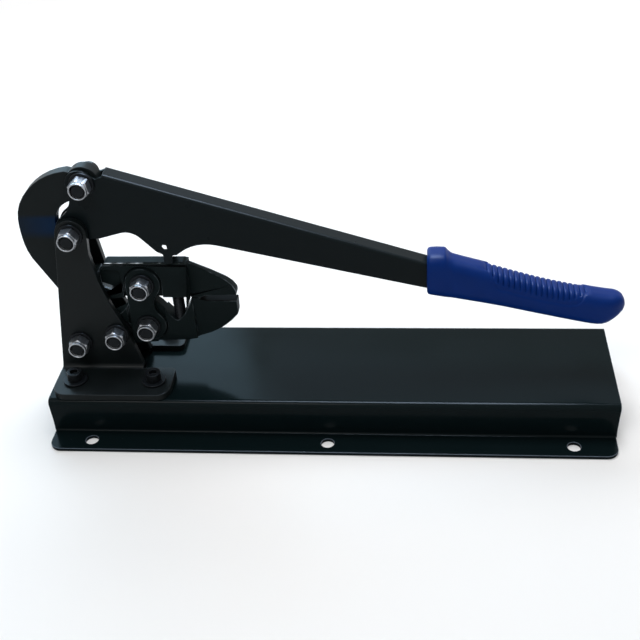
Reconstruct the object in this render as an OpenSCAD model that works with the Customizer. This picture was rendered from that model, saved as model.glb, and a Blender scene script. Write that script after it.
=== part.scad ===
// Bench crimper: a long lever closes a pair of jaws through an over-centre toggle.
// Millimetres. The origin is at the centre of the base's underside, +X runs along the
// base towards the grip, -Y faces the front and +Z is up. The jaws are closed.

/* [Base] */
// Length of the base channel
base_l = 370; // [340:5:420]
// Width of the channel over its side walls
base_w = 88.5; // [87:0.5:100]
// Height of the channel
base_h = 27.2; // [26:0.2:29]
// Thickness of the folded sheet
base_t = 2.5; // [2:0.1:3]
// Outer radius of the folds
base_bend = 4; // [3.5:0.5:6]
// Width of each mounting flange
flange_w = 18.9; // [17:0.1:24]
// Corner radius of the flanges
flange_r = 8; // [3:0.5:9]
// How far the channel's ends lean out from the underside to the top
base_flare = 1.5; // [0.5:0.1:3]
// Distance between the outermost mounting holes, along the base
hole_span = 315; // [280:5:320]
// Diameter of the mounting holes
hole_d = 8.5; // [5:0.5:9]

/* [Frame] */
// Thickness of the frame plates
frame_t = 4.5; // [4:0.1:5]
// Half the gap between the frame plates
frame_in = 7.6; // [7.5:0.1:8]
// Inner radius of the fold between plate and foot
foot_bend = 3.5; // [2:0.5:4]
// Distance from the middle to the outer edge of a foot
foot_reach = 43; // [40:0.5:44]
// Radius of the frame plate's top
frame_top_r = 10.3; // [9.5:0.1:11]

/* [Handle] */
// Thickness of the handle's folded sheet
wall_t = 2.3; // [2:0.1:2.3]
// Outer width of the handle channel
handle_w = 13.2; // [13:0.1:13.4]
// Slope of the handle's top, in mm of fall for each mm of length
handle_fall = 0.325; // [0.32:0.005:0.33]
// Diameter of the bush that the handle turns on
bush_d = 12; // [11:0.5:13]

/* [Jaws] */
// Thickness of the jaws
jaw_t = 10.8; // [10:0.2:11]
// Depth of the step from a jaw's face down to its nose's face
nose_step = 0.7; // [0.3:0.1:1]
// Lean of the upper nose's faces, in mm for each mm of height
upper_lean = 0.125; // [0.05:0.005:0.13]
// Lean of the lower nose's faces, in mm for each mm of height
lower_lean = 0.075; // [0.03:0.005:0.09]
// Narrowing of the noses towards their tips, in mm for each mm of length
tip_lean = 0.02; // [0:0.005:0.06]
// Height of the line where the jaws meet
parting_z = 83.4; // [83.2:0.1:83.6]
// Height of the die slot above the parting line
die_rise = 1.4; // [1:0.1:2]
// Depth of the die slot below the parting line
die_sink = 3.1; // [2:0.1:3.3]
// Thickness of the two plates that join the jaws
link_t = 3.5; // [3:0.1:3.5]
// Radius of the round ends of those plates
link_r = 11.6; // [10.5:0.1:11.8]

/* [Toggle] */
// Thickness of the C-shaped toggle link
toggle_t = 8; // [6:0.2:8]
// Radius of the toggle link's back
back_r = 42.5; // [42:0.1:43]
// Radius of the toggle link's inner cut-out
mouth_r = 17; // [16:0.1:17.5]
// Diameter of the toggle link's lower eye
eye_d = 12.4; // [12.4:0.1:13]

/* [Fasteners] */
// Diameter of the pivot bolts
bolt_d = 8; // [7.8:0.1:8]
// Width across flats of nuts and bolt heads
flats = 12; // [11.5:0.5:13]
// Height of the lock nuts
nut_h = 9.4; // [8:0.1:10]
// Height of the hexagon bolt heads
head_h = 5.3; // [4:0.1:6]
// Outer diameter of the washers
washer_d = 16; // [14.5:0.5:17]
// Thickness of the washers
washer_t = 1.6; // [1:0.1:2]
// Diameter of the foot screws
screw_d = 6; // [5:0.5:6]

/* [Grip] */
// Greatest width of the grip
grip_w = 22; // [20:0.5:26]
// Number of ribs on the grip
ribs = 17; // [8:1:20]
// Depth of the grooves between the ribs
groove = 1.1; // [0:0.1:1.5]

/* [Hidden] */
$fn = 64;

// Degrees between the points of a computed arc
arc_step = 9;
// Clearance round a bolt in a fixed hole, on the diameter
loose = 0.4;
// Clearance of a running fit, on the diameter
running = 0.1;

// Pivots in the side view, as X and Z
toggle_top = [-147, 168];
handle_pivot = [-159, 135];
rear_bolt = [-167, 52.8];
front_bolt = [-141, 59.2];
jaw_pivot = [-120, 95];
link_foot = [-120, 63];
toggle_foot = [-166, 91];

frame_out = frame_in + frame_t;
frame_x0 = -183.4;
frame_x1 = -127;
foot_x1 = -104.5;
foot_screw_xs = [-170.5, -116.8];
foot_screw_y = 27.5;
wall_out = handle_w / 2;
wall_in = wall_out - wall_t;
link_in = jaw_t / 2 - 1.7;
link_out = link_in + link_t;
spacer_t = frame_in - jaw_t / 2;
stop_x = -99.5;
stop_d = 7.8;

// Points of an arc about c from angle a0 to angle a1
function arc(c, r, a0, a1) =
    let (n = max(2, ceil(abs(a1 - a0) / arc_step)))
    [for (i = [0:n]) c + r * [cos(a0 + (a1 - a0) * i / n), sin(a0 + (a1 - a0) * i / n)]];

function unit(v) = v / norm(v);

// Points that round the corner p, between its neighbours a and b, to the radius r
function corner(a, p, b, r) =
    let (u = unit(a - p), v = unit(b - p), half = acos(u * v) / 2,
        c = p + unit(u + v) * r / sin(half),
        s = p + u * r / tan(half) - c, e = p + v * r / tan(half) - c,
        from = atan2(s[1], s[0]),
        turn = (atan2(e[1], e[0]) - from + 540) % 360 - 180)
    arc(c, r, from, from + turn);

function flat(p) = [p[0], p[1]];

// An outline whose corners are given as [x, y] or, where rounded, as [x, y, radius]
function rounded(corners) =
    let (n = len(corners))
    [for (i = [0:n - 1])
        let (a = flat(corners[(i + n - 1) % n]), p = corners[i], b = flat(corners[(i + 1) % n]))
        each len(p) > 2 ? corner(a, flat(p), b, p[2]) : [p]];

// Height of the handle's top web above a place along X
function web_z(x) = 156.7 - handle_fall * (x + 81);

// Stands a side-view outline upright between two distances from the middle
module upright(y0, y1) {
    translate([0, y1, 0]) rotate([90, 0, 0]) linear_extrude(y1 - y0) children();
}

// A rod across the object at a place in the side view
module rod(p, d, y0, y1) {
    translate([p[0], y1, p[1]]) rotate([90, 0, 0]) cylinder(d = d, h = y1 - y0);
}

// A washer whose flat face lies at y; it lies to the front where side is -1
module washer(p, y, side) {
    y0 = side < 0 ? y - washer_t : y;
    difference() {
        rod(p, washer_d, y0, y0 + washer_t);
        rod(p, bolt_d + loose, y0 - 1, y0 + washer_t + 1);
    }
}

// A self-locking nut that faces the front, seated at y
module lock_nut(p, y) {
    hex_h = nut_h * 0.89;
    difference() {
        union() {
            intersection() {
                translate([p[0], y, p[1]]) rotate([90, 0, 0])
                    cylinder(d = flats / cos(30), h = hex_h, $fn = 6);
                translate([p[0], y, p[1]]) rotate([90, 0, 0])
                    cylinder(d1 = flats + 6, d2 = flats - 0.6, h = hex_h + 0.01);
            }
            rod(p, flats - 1, y - nut_h, y - hex_h + 0.5);
        }
        rod(p, bolt_d + running, y - nut_h - 1, y + 1);
    }
}

// A hexagon bolt with its head at the rear, seated at y, and its end at the front
module hex_bolt(p, y, end_y) {
    rod(p, bolt_d, end_y, y);
    intersection() {
        translate([p[0], y + head_h, p[1]]) rotate([90, 0, 0])
            cylinder(d = flats / cos(30), h = head_h, $fn = 6);
        translate([p[0], y + head_h, p[1]]) rotate([90, 0, 0])
            cylinder(d1 = flats - 0.6, d2 = flats + 6, h = head_h);
    }
}

// Long channel with a flange along each side, folded from one sheet
module base_channel() {
    w = base_w / 2;
    edge = w + flange_w;
    inner = base_bend - base_t;
    section = [[-edge, 0], [-edge, base_t], [-w, base_t, inner], [-w, base_h, base_bend],
        [w, base_h, base_bend], [w, base_t, inner], [edge, base_t], [edge, 0],
        [w - base_t, 0, base_bend], [w - base_t, base_h - base_t, inner],
        [base_t - w, base_h - base_t, inner], [base_t - w, 0, base_bend]];
    half = base_l / 2;
    full = half + base_flare;
    wall_y = w + 0.3;
    footprint = [[-half, -edge, flange_r], [half, -edge, flange_r], [half, -wall_y], [full, -wall_y],
        [full, wall_y], [half, wall_y], [half, edge, flange_r], [-half, edge, flange_r],
        [-half, wall_y], [-full, wall_y], [-full, -wall_y], [-half, -wall_y]];
    ends = [[base_flare - half, -base_h], [half - base_flare, -base_h],
        [full + base_flare, 2 * base_h], [-full - base_flare, 2 * base_h]];
    color("#101317") difference() {
        intersection() {
            translate([-full - 1, 0, 0]) rotate([90, 0, 90])
                linear_extrude(2 * full + 2) polygon(rounded(section));
            translate([0, 0, -1]) linear_extrude(base_h + 2) polygon(rounded(footprint));
            upright(-edge - 1, edge + 1) polygon(ends);
        }
        for (x = [-1:1], side = [-1, 1])
            translate([x * hole_span / 2, side * (w + 9.8), -1]) cylinder(d = hole_d, h = base_t + 2);
        for (x = foot_screw_xs, side = [-1, 1])
            translate([x, side * foot_screw_y, base_h - base_t - 1])
                cylinder(d = screw_d + loose, h = base_t + 2);
    }
}

// One frame plate: an upright cheek and a foot bent outwards, drawn for the front
module frame_plate() {
    top = frame_top_r;
    cheek = concat(
        [[frame_x1, base_h], [frame_x1, 34], [-130.5, 46.8]],
        arc([23.8, 135.2], 174.3, 204.8, 184.7),
        [[-149.2, 131]],
        arc(handle_pivot, top, 10, 172),
        [[frame_x0, 34], [frame_x0, base_h]]);
    fold = [[-20, base_h], [-20, base_h + frame_t], [-frame_out, base_h + frame_t, foot_bend],
        [-frame_out, 60], [-frame_in, 60], [-frame_in, base_h, foot_bend + frame_t]];
    foot = [[frame_x0, -foot_reach, 9], [foot_x1, -foot_reach, 9], [foot_x1, -frame_out - 0.4, 4],
        [frame_x1, -frame_out - 0.4], [frame_x1, -18], [frame_x0, -18]];
    difference() {
        union() {
            upright(-frame_out, -frame_in) intersection() {
                polygon(cheek);
                translate([frame_x0 - 5, 55]) square([80, 120]);
            }
            intersection() {
                translate([frame_x0 - 5, 0, 0]) rotate([90, 0, 90])
                    linear_extrude(70) polygon(rounded(fold));
                upright(-30, 0) polygon(cheek);
            }
            translate([0, 0, base_h]) linear_extrude(frame_t) polygon(rounded(foot));
        }
        for (p = [handle_pivot, rear_bolt, front_bolt])
            rod(p, bolt_d + loose, -frame_out - 1, -frame_in + 1);
        for (x = foot_screw_xs)
            translate([x, -foot_screw_y, base_h - 1]) cylinder(d = screw_d + loose, h = frame_t + 2);
    }
}

module frame_plate_front() {
    color("#15181b") frame_plate();
}

module frame_plate_rear() {
    color("#15181b") mirror([0, 1, 0]) frame_plate();
}

// Puts its children at each foot screw, with Z at the top of the base
module at_foot_screws() {
    for (x = foot_screw_xs, side = [-1, 1])
        translate([x, side * foot_screw_y, base_h]) children();
}

// Socket-head screws that hold the feet on the base
module foot_screws() {
    head_d = screw_d * 1.67;
    seat = frame_t + washer_t;
    reach = base_t + screw_d + 1.2;
    color("#1c1e20") at_foot_screws() {
        translate([0, 0, -reach]) cylinder(d = screw_d, h = reach + seat + 0.5);
        difference() {
            translate([0, 0, seat]) cylinder(d = head_d, h = screw_d);
            translate([0, 0, seat + screw_d / 2])
                cylinder(d = screw_d * 0.83 / cos(30), h = screw_d, $fn = 6);
        }
    }
}

module foot_washers() {
    color("#1a1c1e") at_foot_screws() translate([0, 0, frame_t]) difference() {
        cylinder(d = washer_d, h = washer_t);
        translate([0, 0, -1]) cylinder(d = screw_d + loose, h = washer_t + 2);
    }
}

module foot_nuts() {
    color("#b9bcc0") at_foot_screws() translate([0, 0, -base_t - screw_d * 0.85]) difference() {
        cylinder(d = 10 / cos(30), h = screw_d * 0.85, $fn = 6);
        translate([0, 0, -1]) cylinder(d = screw_d + running, h = screw_d + 2);
    }
}

// The through slot between the closed noses, pointed at its inner end
module die_slot() {
    slot = [[-84.7, parting_z - 1.6], [-80.6, parting_z + die_rise], [-50, parting_z + die_rise],
        [-50, parting_z - die_sink], [-79.5, parting_z - die_sink]];
    upright(-10, 10) polygon(slot);
}

// Room outside a nose's two faces, beyond root_x. The faces lean in towards the nose's tip
// and its outer edge, which lies above the parting line where way is 1 and below where it's -1.
module beside_nose(root_x, lean, way) {
    for (side = [-1, 1])
        translate([root_x, side * (jaw_t / 2 - nose_step), parting_z])
            rotate([side * way * atan(lean), 0, -side * atan(tip_lean)])
                translate([0, side < 0 ? -20 : 0, -60]) cube([60, 20, 120]);
}

// Recesses on both faces of a jaw for the round end of a link plate about p,
// open towards the other jaw where way is 1 or -1
module link_seats(p, r, way) {
    leg = [[p[0] - r - 1.5, p[1]], [p[0] - r - 1.5, p[1] + way * 22],
        [p[0] + r - 0.5, p[1] + way * 22], [p[0] + r - 0.5, p[1]]];
    for (side = [-1, 1]) {
        y0 = side < 0 ? -jaw_t : link_in - 0.1;
        rod(p, 2 * r, y0, y0 + jaw_t - link_in + 0.1);
        upright(y0, y0 + jaw_t - link_in + 0.1) polygon(leg);
    }
}

// Fixed jaw: a nose, a V-shaped throat and a long arm held in the frame
module lower_jaw() {
    top = parting_z - 0.2;
    root_x = -88.9;
    bevel_z = 53.7;
    bevel_x = -116;
    body = concat(
        rounded([[root_x, 50.6], [root_x, top], [-90.6, 79.4, 1], [-95.3, 70.6],
            [-100.8, 64.6, 2.5], [-110.9, 77.4], [-114.6, 80.8, 2], [-130, 80.8, 3],
            [-138, 71, 12], [-150, 66.4, 20], [-164, 62.8]]),
        arc(rear_bolt, 10, 88, 272),
        rounded([[-164, 42.8], [-142, 46.4, 30], [-118, 48.2, 20], [-95.4, 48.9, 10], [-89.4, 50.4]]));
    nose = [[-89.4, 50.4], [-79, 54.2], [-71.2, 58.4, 30], [-64.4, 64.4, 12], [-59.6, 69.8, 5],
        [-59.6, top], [-89.4, top]];
    color("#17191c") difference() {
        upright(-jaw_t / 2, jaw_t / 2) {
            polygon(body);
            polygon(rounded(nose));
        }
        beside_nose(root_x, lower_lean, -1);
        die_slot();
        link_seats(link_foot, 12.3, 1);
        for (side = [-1, 1])
            translate([bevel_x, side * jaw_t / 2, bevel_z]) rotate([-side * 18, 0, 0])
                translate([0, side < 0 ? -10 : 0, -12]) cube([40, 10, 12]);
        for (p = [rear_bolt, front_bolt, link_foot])
            rod(p, bolt_d + loose, -jaw_t, jaw_t);
        translate([stop_x, 0, 53]) cylinder(d = stop_d + running, h = 30);
    }
}

// Rings that centre the lower jaw between the frame plates
module jaw_spacers() {
    color("#1c1e20") for (p = [rear_bolt, front_bolt], side = [-1, 1]) {
        y0 = side < 0 ? -frame_in : jaw_t / 2;
        difference() {
            rod(p, washer_d, y0, y0 + spacer_t);
            rod(p, bolt_d + loose, y0 - 1, y0 + spacer_t + 1);
        }
    }
}

// The three bolts through the frame plates
module frame_bolts() {
    seat = frame_out + washer_t;
    color("#1c1e20") for (p = [handle_pivot, rear_bolt, front_bolt])
        hex_bolt(p, seat, -seat - nut_h + 0.8);
}

module frame_nuts() {
    color("#c4c7ca") for (p = [handle_pivot, rear_bolt, front_bolt])
        lock_nut(p, -frame_out - washer_t);
}

module frame_washers() {
    color("#1c1e20") for (p = [handle_pivot, rear_bolt, front_bolt], side = [-1, 1])
        washer(p, side * frame_out, side);
}

// Bush clamped between the frame plates, on which the handle turns
module pivot_bush() {
    reach = frame_in - 0.05;
    color("#8f9296") difference() {
        rod(handle_pivot, bush_d, -reach, reach);
        rod(handle_pivot, bolt_d + loose, -reach - 1, reach + 1);
    }
}

// Plate with two round ends that joins the jaws on one side, drawn for the front
module link_plate() {
    outline = concat(
        arc(jaw_pivot, link_r, -42, 180),
        arc(link_foot, link_r, 180, 402),
        corner([-111.4, 70.8], [-117, 79], [-111.4, 87.2], 12));
    difference() {
        upright(-link_out, -link_in) polygon(outline);
        for (p = [jaw_pivot, link_foot])
            rod(p, bolt_d + loose, -link_out - 1, -link_in + 1);
    }
}

module link_plate_front() {
    color("#17191c") link_plate();
}

module link_plate_rear() {
    color("#17191c") mirror([0, 1, 0]) link_plate();
}

// The upper jaw's pivot bolt and the bolt at the foot of the link plates
module jaw_bolts() {
    seat = link_out + washer_t;
    color("#1c1e20") for (p = [jaw_pivot, link_foot])
        hex_bolt(p, seat, -seat - nut_h + 0.8);
}

module jaw_nuts() {
    color("#c4c7ca") for (p = [jaw_pivot, link_foot])
        lock_nut(p, -link_out - washer_t);
}

module jaw_washers() {
    color("#1c1e20") for (p = [jaw_pivot, link_foot], side = [-1, 1])
        washer(p, side * link_out, side);
}

// Set screw in the throat, on which the upper jaw lands
module stop_screw() {
    color("#202224") translate([stop_x, 0, 0]) {
        translate([0, 0, 54]) cylinder(d = stop_d, h = 28);
        translate([0, 0, 82]) cylinder(d1 = stop_d, d2 = stop_d - 2.4, h = 1.2);
    }
}

// Handle channel: two cheeks joined by a web along the top, folded from one sheet.
// The side view is cut out of a long channel that slopes with the handle.
module handle_channel() {
    start_x = -175;
    web_x = -133.8;
    end_x = 140;
    slope = atan(handle_fall);
    bend = wall_t + 0.1;
    deep = 80;
    side_view = rounded(concat(
        [[web_x, web_z(web_x) + 3], [web_x, 172.6], [-138.2, 171, 2.5]],
        arc([-148.6, 167.4], 9.3, 36, 205),
        [[-157.2, 155.4, 10], [-160.4, 148.8, 8]],
        arc(handle_pivot, 11.2, 122, 300),
        [[-149, 129, 3], [-142.6, 129.2, 6], [-121.5, 135, 12], [-107.2, 119.3, 4],
            [-103.4, 117.4, 1], [-103.2, 110.4, 0.6], [-97.8, 110.4, 0.6], [-97.6, 116.4, 1.2],
            [-94.4, 116.8, 0.6], [-80.8, 126.8, 28], [61.7, 92.4, 200], [end_x, 76],
            [end_x, web_z(end_x) + 3]]));
    section = [[-wall_out, -deep], [-wall_out, 0, bend], [wall_out, 0, bend], [wall_out, -deep],
        [wall_in, -deep], [wall_in, -wall_t], [-wall_in, -wall_t], [-wall_in, -deep]];
    color("#14171a") difference() {
        intersection() {
            upright(-wall_out - 2, wall_out + 2) polygon(side_view);
            translate([start_x, 0, web_z(start_x)]) rotate([0, slope, 0]) rotate([90, 0, 90])
                linear_extrude((end_x - start_x) / cos(slope) + 30) polygon(rounded(section));
        }
        upright(-wall_in, wall_in) translate([web_x - 40, 165]) square([40, 40]);
        rod(toggle_top, bolt_d + loose, -wall_out - 3, wall_out + 3);
        rod(handle_pivot, bush_d + running, -wall_out - 3, wall_out + 3);
        rod([-101.5, 122.3], 4, -wall_out - 3, wall_out + 3);
    }
}

// Stations of the grip along X, each with the heights of its top and underside,
// its share of the full width and its groove depth
function grip_top(x) = lookup(x, [[64, 112.6], [66, 115.2], [75, 115.6], [79.8, 111.4],
    [100, 105.2], [136, 93.9], [165, 87], [178, 84.6], [183, 84.2], [187, 82], [189.2, 76.6]]);
function grip_foot(x) = lookup(x, [[64, 89.4], [66, 86.4], [83, 82.9], [110, 77.4], [137, 71],
    [160, 65.8], [171, 63.8], [177, 64.2], [183.4, 68.4], [187, 72], [189.2, 75.4]]);
function grip_half(x) = grip_w / 2 * lookup(x, [[64, 0.86], [66, 0.98], [75, 1], [79.8, 0.9],
    [136, 0.86], [170, 0.9], [180, 0.84], [187, 0.56], [189.2, 0.06]]);

rib_x0 = 100;
rib_x1 = 163;
rib_pitch = (rib_x1 - rib_x0) / ribs;
ring_points = 32;
grip_xs = concat([64, 65, 66, 70, 75, 77.5, 79.8, 84, 92],
    [for (i = [0:2 * ribs]) rib_x0 + i * rib_pitch / 2],
    [168, 174, 178, 181, 183.4, 185.4, 187, 188.3, 189.2]);

// Groove depth at a station: every second one between the ends of the ribs
function groove_at(i) =
    let (x = grip_xs[i], half_steps = round((x - rib_x0) * 2 / rib_pitch))
    x < rib_x0 || x > rib_x1 + 0.1 ? 0 : half_steps % 2 == 1 ? groove : 0;

// A point of the grip's skin: a squarish oval, grooved except underneath
function grip_point(i, k) =
    let (x = grip_xs[i], a = k * 360 / ring_points,
        mid = (grip_top(x) + grip_foot(x)) / 2, rise = (grip_top(x) - grip_foot(x)) / 2,
        cut = groove_at(i) * min(1, max(0, 0.9 + 1.5 * sin(a))),
        y = sign(cos(a)) * pow(abs(cos(a)), 0.62), z = sign(sin(a)) * pow(abs(sin(a)), 0.62))
    [x, (grip_half(x) - cut) * y, mid + (rise - cut) * z];

// Moulded sleeve with a collar, a ribbed middle and a rounded end
module grip() {
    n = len(grip_xs);
    m = ring_points;
    points = [for (i = [0:n - 1], k = [0:m - 1]) grip_point(i, k)];
    sides = [for (i = [0:n - 2], k = [0:m - 1])
        each [[i * m + k, i * m + (k + 1) % m, (i + 1) * m + (k + 1) % m],
            [i * m + k, (i + 1) * m + (k + 1) % m, (i + 1) * m + k]]];
    ends = [[for (k = [0:m - 1]) m - 1 - k], [for (k = [0:m - 1]) (n - 1) * m + k]];
    socket = [[50, 99], [50, 118.4], [140.3, web_z(140.3) + 0.3], [140.3, 75], [64, 91.2], [50, 94.8]];
    color("#1f3f9c") difference() {
        polyhedron(points, concat(sides, ends));
        upright(-wall_out - 0.1, wall_out + 0.1) polygon(socket);
    }
}

// Bolt that pins the toggle link to the handle
module toggle_bolt() {
    seat = wall_out + washer_t;
    color("#1c1e20") hex_bolt(toggle_top, seat, -seat - nut_h + 0.8);
}

module toggle_nut() {
    color("#c4c7ca") lock_nut(toggle_top, -wall_out - washer_t);
}

module toggle_washers() {
    color("#1c1e20") for (side = [-1, 1]) washer(toggle_top, side * wall_out, side);
}

// C-shaped link that reaches round the handle's pivot to the upper jaw's tail
module toggle_link() {
    back = [-153.4, 133.1];
    flat_at = 182;
    mouth = [-153, 138.5];
    outline = concat(
        arc(toggle_top, 10.3, -95, 140),
        [for (a = [96:8:208])
            let (dip = abs(a - flat_at) < 30 ? 0.7 * (1 + cos(6 * (a - flat_at))) : 0)
            back + (back_r - dip) * [cos(a), sin(a)]],
        [for (a = [208:9:361])
            toggle_foot + lookup(a, [[208, 11.3], [300, 10]]) * [cos(a), sin(a)]],
        arc(mouth, mouth_r, 222, 85));
    color("#15181b") difference() {
        upright(-toggle_t / 2, toggle_t / 2) polygon(outline);
        rod(toggle_top, bolt_d + running, -toggle_t, toggle_t);
        rod(toggle_foot, eye_d, -toggle_t, toggle_t);
    }
}

// Moving jaw: a nose, a flat back that the handle's lug meets and a forked tail
module upper_jaw() {
    low = parting_z + 0.2;
    root_x = -89.8;
    back_z = 110;
    chamfer = 1.6;
    body = [[root_x, 83.9], [root_x, 107.6, 1.2], [-91.8, back_z, 1.5], [-144, back_z, 2],
        [-146.5, 103.5, 2], [-154, 101.6], [-154, 82], [-132, 83.9]];
    nose = [[-90.6, 86], [-89.4, low], [-59.6, low], [-59.6, 87.9, 4], [-62, 92.2, 5],
        [-66, 95.8, 12], [-76, 101.6], [-82.4, 104.8], [-90.6, 109]];
    tail = concat(arc(toggle_foot, 10, 97, 263), [[-149, 83.2], [-149, 103]]);
    pocket = [[-148.4, 104.9, 1], [-134.4, 104.9, 2], [-134.4, 88.3, 2], [-148.4, 94.2, 1]];
    pocket_in = 2.6;
    ear_in = toggle_t / 2 + 0.2;
    ear_out = frame_in - 0.4;
    color("#17191c") difference() {
        union() {
            upright(-jaw_t / 2, jaw_t / 2) {
                polygon(rounded(body));
                polygon(rounded(nose));
            }
            upright(-ear_out, ear_out) polygon(tail);
        }
        beside_nose(root_x, upper_lean, 1);
        die_slot();
        link_seats(jaw_pivot, 12.4, -1);
        for (side = [-1, 1]) {
            translate([-115, side * jaw_t / 2, back_z]) rotate([45, 0, 0])
                cube([61, chamfer * sqrt(2), chamfer * sqrt(2)], center = true);
            y0 = side < 0 ? -jaw_t : pocket_in;
            upright(y0, y0 + jaw_t - pocket_in) polygon(rounded(pocket));
        }
        upright(-ear_in, ear_in) translate([-190, 70]) square([36.6, 50]);
        rod(jaw_pivot, bolt_d + running, -jaw_t, jaw_t);
        rod(toggle_foot, bolt_d + 0.02, -jaw_t, jaw_t);
    }
}

// Pin fixed in the upper jaw's fork, on which the toggle link pushes
module toggle_pin() {
    reach = frame_in - 0.5;
    color("#8f9296") rod(toggle_foot, bolt_d, -reach, reach);
}

base_channel();
frame_plate_front();
frame_plate_rear();
foot_screws();
foot_washers();
foot_nuts();
lower_jaw();
jaw_spacers();
frame_bolts();
frame_nuts();
frame_washers();
pivot_bush();
link_plate_front();
link_plate_rear();
jaw_bolts();
jaw_nuts();
jaw_washers();
stop_screw();
handle_channel();
grip();
toggle_bolt();
toggle_nut();
toggle_washers();
toggle_link();
upper_jaw();
toggle_pin();
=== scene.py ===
import math

import bmesh
import bpy
from mathutils import Matrix, Vector


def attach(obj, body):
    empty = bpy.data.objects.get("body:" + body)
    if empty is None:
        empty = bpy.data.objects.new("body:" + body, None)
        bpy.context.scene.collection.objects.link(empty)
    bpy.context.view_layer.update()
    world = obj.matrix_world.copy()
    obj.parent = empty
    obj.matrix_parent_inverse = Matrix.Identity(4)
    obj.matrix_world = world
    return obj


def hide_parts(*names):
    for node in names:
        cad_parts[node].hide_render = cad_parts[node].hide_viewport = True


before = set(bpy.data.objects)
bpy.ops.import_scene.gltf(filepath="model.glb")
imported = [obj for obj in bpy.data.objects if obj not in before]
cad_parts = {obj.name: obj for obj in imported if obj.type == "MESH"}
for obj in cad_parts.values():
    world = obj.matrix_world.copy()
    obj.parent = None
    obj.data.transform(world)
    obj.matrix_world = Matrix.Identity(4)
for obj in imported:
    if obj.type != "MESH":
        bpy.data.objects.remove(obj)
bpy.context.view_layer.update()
MM = 0.001

# Base: one long channel of 2.5 mm steel sheet with a drilled flange along each side.
# It is folded on a press brake, deburred and powder-coated in gloss black, and it carries
# the whole tool on a bench.

WELD_MM = 0.02
FLAT_DEG = 0.4
SHARP_DEG = 32
SMOOTH_DEG = 48


def colour(code):
    """A colour written as an sRGB hex value, as the linear RGBA that a shader takes."""
    parts = [int(code[i:i + 2], 16) / 255 for i in (1, 3, 5)]
    return [c / 12.92 if c <= 0.04045 else ((c + 0.055) / 1.055) ** 2.4 for c in parts] + [1]


def add(tree, kind, inputs=None, **settings):
    """Adds a node to a tree. settings are its properties, and inputs are values or the sockets
    that feed it."""
    node = tree.nodes.new(kind)
    for name, value in settings.items():
        setattr(node, name, value)
    for name, value in (inputs or {}).items():
        if isinstance(value, bpy.types.NodeSocket):
            tree.links.new(value, node.inputs[name])
        else:
            node.inputs[name].default_value = value
    return node


def start_material(name):
    """An empty material's node tree, and where it reads its place on the piece, in metres."""
    material = bpy.data.materials.new(name)
    material.use_nodes = True
    tree = material.node_tree
    tree.nodes.clear()
    place = add(tree, "ShaderNodeTexCoord").outputs["Object"]
    return material, tree, place


def end_material(tree, shader):
    """Joins the finished shader to the material's output."""
    add(tree, "ShaderNodeOutputMaterial", {"Surface": shader.outputs[0]})


def softened(name, node, round_mm, segments=2, reshape=None, wear_and_shade_of=None):
    """A mesh of a CAD node with its sharp edges rounded, as deburring and paint leave them.
    The rounded faces carry the attribute edge = 1, which the finishes use for rubbed-through
    coat and for painted highlights. reshape changes the plain mesh first, and the last argument
    gives other faces their value of edge (bare metal, or painted shade), or None."""
    shape = bmesh.new()
    shape.from_mesh(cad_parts[node].data)
    bmesh.ops.remove_doubles(shape, verts=shape.verts, dist=WELD_MM * MM)
    flat = math.radians(FLAT_DEG)
    bmesh.ops.dissolve_limit(shape, angle_limit=flat, verts=shape.verts, edges=shape.edges)
    if reshape:
        reshape(shape)
    limit = math.radians(SHARP_DEG)
    sharp = [e for e in shape.edges if len(e.link_faces) == 2 and e.calc_face_angle() > limit]
    edge = shape.faces.layers.float.new("edge")
    made = bmesh.ops.bevel(shape, geom=sharp, offset=round_mm * MM, offset_type="OFFSET",
                           segments=segments, profile=0.5, affect="EDGES", clamp_overlap=False)
    for face in made["faces"]:
        face[edge] = 1
    shape.normal_update()
    for face in shape.faces:
        wear_and_shade = wear_and_shade_of(face) if wear_and_shade_of else None
        if wear_and_shade is not None:
            face[edge] = wear_and_shade
    piece = placed(name, finished_mesh(name, shape, SMOOTH_DEG))
    even = piece.modifiers.new("flat faces stay flat", "WEIGHTED_NORMAL")
    even.keep_sharp = True
    return settled(piece)


def finished_mesh(name, shape, crease_deg):
    """The mesh of a shape, smooth except along edges that turn more than crease_deg."""
    for face in shape.faces:
        face.smooth = True
    mesh = bpy.data.meshes.new(name)
    shape.to_mesh(mesh)
    shape.free()
    mesh.set_sharp_from_angle(angle=math.radians(crease_deg))
    return mesh


def placed(name, data):
    """An object of this data in the scene, at the origin and unturned."""
    made = bpy.data.objects.new(name, data)
    bpy.context.scene.collection.objects.link(made)
    return made


def settled(piece):
    """Turns a piece with modifiers into a plain mesh of the same name."""
    bpy.context.view_layer.update()
    seen = piece.evaluated_get(bpy.context.evaluated_depsgraph_get())
    mesh = bpy.data.meshes.new_from_object(seen)
    piece.modifiers.clear()
    piece.data = mesh
    mesh.name = piece.name
    return piece


def fit(piece, body, material, node):
    """Gives a piece its finish and the body it moves with, in place of a CAD node."""
    piece.data.materials.clear()
    piece.data.materials.append(material)
    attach(piece, body)
    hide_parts(node)


# The powder melts into a deep, wet-looking gloss with a faint orange peel of 1.6 mm. Specks of
# dust lie some 5 mm apart. The folds and cut edges are tinted greyer, partly as thinner coat and
# partly as a painted highlight along them.

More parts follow.
